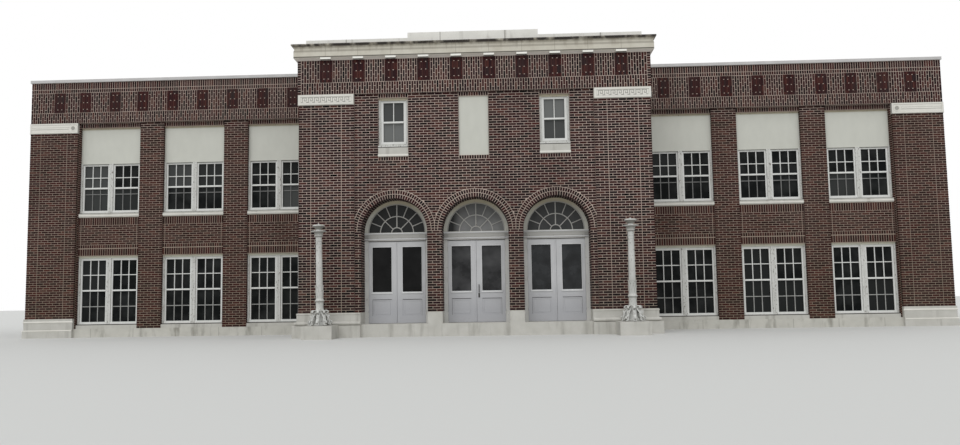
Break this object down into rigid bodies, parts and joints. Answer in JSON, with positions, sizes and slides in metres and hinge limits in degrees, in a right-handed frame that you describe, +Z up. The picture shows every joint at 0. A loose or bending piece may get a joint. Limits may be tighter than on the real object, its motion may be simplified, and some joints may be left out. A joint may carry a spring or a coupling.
{
  "type": "two-storey brick school building",
  "caption": "Two-storey brick school with a projecting entrance pavilion, round-arched doorways, stone cornice, flat-roofed wings and paired sash windows.",
  "frame": {"origin": "middle of the plan at the lowest ground level, the foot of the walls", "axes": "+Z up; the front with the entrance doors faces -Y; +X to the right seen from the front"},
  "size_m": [28.13, 16.345, 8.5],
  "materials": {
    "brick": "dark red-brown face brick with light joints, matt",
    "stone": "weathered off-white limestone, matt",
    "cornice_stone": "weathered cream limestone with dark stains, matt",
    "coping_metal": "weathered light grey sheet metal",
    "concrete": "plain concrete, matt",
    "roofing": "grey gravel roofing, matt",
    "window_paint": "old white oil paint on timber",
    "panel_paint": "cream painted board, matt",
    "door_paint": "pale grey-white paint on timber, satin",
    "lamp_paint": "old white paint on cast iron",
    "handle_metal": "dark blackened metal",
    "glass": "old window glass"
  },
  "bodies": {
    "building": {"base_course": "stone", "blocking_course": "cornice_stone", "coping": "coping_metal", "corner_piers": "brick", "corner_plinths": "stone", "cornice": "cornice_stone", "door_frames": "door_paint", "door_sills": "stone", "fanlight_frames": "door_paint", "fanlight_glass": "glass", "ground_floor": "concrete", "hall_ground_floor": "concrete", "hall_roof_deck": "roofing", "high_window_frames": "window_paint", "high_window_glass": "glass", "infill_panels": "panel_paint", "lamp_plinths": "stone", "lamp_standards": "lamp_paint", "lintels": "brick", "low_window_frames": "window_paint", "low_window_glass": "glass", "parapet": "brick", "pavilion_base": "stone", "pavilion_frieze": "brick", "pavilion_front_wall": "brick", "pavilion_piers": "brick", "pavilion_side_walls": "brick", "pier_caps": "stone", "roof_deck": "roofing", "spandrels": "brick", "upper_floors": "concrete", "wall_piers": "brick", "window_sills": "stone"},
    "left_door_left_leaf": {"left_door_left_leaf": "door_paint", "left_door_left_glass": "glass"},
    "left_door_right_leaf": {"left_door_right_leaf": "door_paint", "left_door_right_glass": "glass"},
    "middle_door_left_leaf": {"middle_door_left_leaf": "door_paint", "middle_door_left_glass": "glass"},
    "middle_door_right_leaf": {"middle_door_right_leaf": "door_paint", "middle_door_right_glass": "glass", "door_handle": "handle_metal"},
    "right_door_left_leaf": {"right_door_left_leaf": "door_paint", "right_door_left_glass": "glass"},
    "right_door_right_leaf": {"right_door_right_leaf": "door_paint", "right_door_right_glass": "glass"}
  },
  "joints": [
    {"name": "left_door_left_hinge", "type": "hinge", "parent": "building", "child": "left_door_left_leaf", "pos_m": [-3.0295, -6.622, 0.35], "axis": [0, 0, -1], "range_deg": [0, 90]},
    {"name": "left_door_right_hinge", "type": "hinge", "parent": "building", "child": "left_door_right_leaf", "pos_m": [-1.4305, -6.622, 0.35], "axis": [0, 0, 1], "range_deg": [0, 90]},
    {"name": "middle_door_left_hinge", "type": "hinge", "parent": "building", "child": "middle_door_left_leaf", "pos_m": [-0.7995, -6.622, 0.35], "axis": [0, 0, -1], "range_deg": [0, 90]},
    {"name": "middle_door_right_hinge", "type": "hinge", "parent": "building", "child": "middle_door_right_leaf", "pos_m": [0.7995, -6.622, 0.35], "axis": [0, 0, 1], "range_deg": [0, 90]},
    {"name": "right_door_left_hinge", "type": "hinge", "parent": "building", "child": "right_door_left_leaf", "pos_m": [1.4305, -6.622, 0.35], "axis": [0, 0, -1], "range_deg": [0, 90]},
    {"name": "right_door_right_hinge", "type": "hinge", "parent": "building", "child": "right_door_right_leaf", "pos_m": [3.0295, -6.622, 0.35], "axis": [0, 0, 1], "range_deg": [0, 90]}
  ]
}
